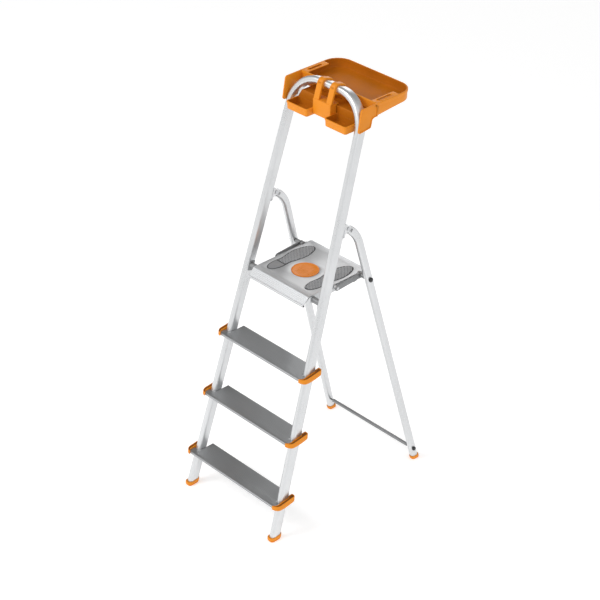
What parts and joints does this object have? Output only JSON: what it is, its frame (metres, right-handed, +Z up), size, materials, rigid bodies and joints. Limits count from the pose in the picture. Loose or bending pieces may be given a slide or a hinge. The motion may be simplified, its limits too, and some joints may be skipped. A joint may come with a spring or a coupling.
{
  "type": "step_ladder",
  "caption": "Folding step ladder with aluminium treads, a platform, a tall safety hoop, orange end caps and feet, and a tool tray",
  "frame": {"origin": "on the floor under the middle of the ladder's overall box, ladder open", "axes": "+Z up, front (the treads) towards -Y, rear legs towards +Y, +X to the climber's right"},
  "size_m": [0.4874, 0.7504, 1.534],
  "materials": {
    "tube": "satin",
    "tread": "satin",
    "platform": "satin",
    "rivet": "satin",
    "steel": "satin",
    "bolt_cap": "matte",
    "end_cap": "satin",
    "foot": "satin",
    "tray": "satin",
    "badge": "gloss",
    "grip": "matte"
  },
  "bodies": {
    "front_frame": {"stile_left": "tube", "stile_right": "tube", "hoop_bend_left": "tube", "hoop_bend_right": "tube", "hoop_bar": "tube", "tread_1": "tread", "tread_2": "tread", "tread_3": "tread", "tread_rivets": "rivet", "cap_1_left": "end_cap", "cap_1_right": "end_cap", "cap_2_left": "end_cap", "cap_2_right": "end_cap", "cap_3_left": "end_cap", "cap_3_right": "end_cap", "foot_front_left": "foot", "foot_front_right": "foot", "tray_basin": "tray", "tray_bridge": "tray", "tray_pocket_left": "tray", "tray_pocket_right": "tray", "tray_saddle": "tray", "tray_hook_left": "tray", "tray_hook_right": "tray", "hinge_bracket_left": "steel", "hinge_bracket_right": "steel", "hinge_pin_left": "steel", "hinge_pin_right": "steel", "platform_bracket_left": "steel", "platform_bracket_right": "steel", "platform_pin_left": "rivet", "platform_pin_right": "rivet"},
    "rear_frame": {"rear_leg_left": "tube", "rear_leg_right": "tube", "leg_bend_left": "tube", "leg_bend_right": "tube", "leg_end_left": "steel", "leg_end_right": "steel", "foot_rear_left": "foot", "foot_rear_right": "foot", "rear_crossbar": "steel", "crossbar_bolts": "bolt_cap", "stay_bolt_left": "bolt_cap", "stay_bolt_right": "bolt_cap"},
    "platform": {"platform_deck": "platform", "platform_nose": "platform", "rail_left": "platform", "rail_right": "platform", "grip_left": "grip", "grip_right": "grip", "badge": "badge", "badge_ring": "badge", "rest_left": "steel", "rest_right": "steel"},
    "stay_left": {"stay_left": "steel", "stay_rivet_left": "rivet"},
    "stay_right": {"stay_right": "steel", "stay_rivet_right": "rivet"}
  },
  "joints": [
    {"name": "rear_fold", "type": "hinge", "parent": "front_frame", "child": "rear_frame", "pos_m": [0, 0.02585, 1.085], "axis": [-1, 0, 0], "range_deg": [0, 32.5]},
    {"name": "platform_fold", "type": "hinge", "parent": "front_frame", "child": "platform", "pos_m": [0, -0.08663, 0.836], "axis": [1, 0, 0], "range_deg": [0, 72.5]},
    {"name": "stay_left_fold", "type": "hinge", "parent": "rear_frame", "child": "stay_left", "pos_m": [-0.1505, 0.12714, 0.851], "axis": [-1, 0, 0], "range_deg": [0, 36.02]},
    {"name": "stay_right_fold", "type": "hinge", "parent": "rear_frame", "child": "stay_right", "pos_m": [0.1505, 0.12714, 0.851], "axis": [-1, 0, 0], "range_deg": [0, 36.02]}
  ],
  "couplings": [
    {"joint": "platform_fold", "follows": "rear_fold", "ratio": 2.2308},
    {"joint": "stay_left_fold", "follows": "rear_fold", "ratio": 1.1084},
    {"joint": "stay_right_fold", "follows": "rear_fold", "ratio": 1.1084}
  ]
}
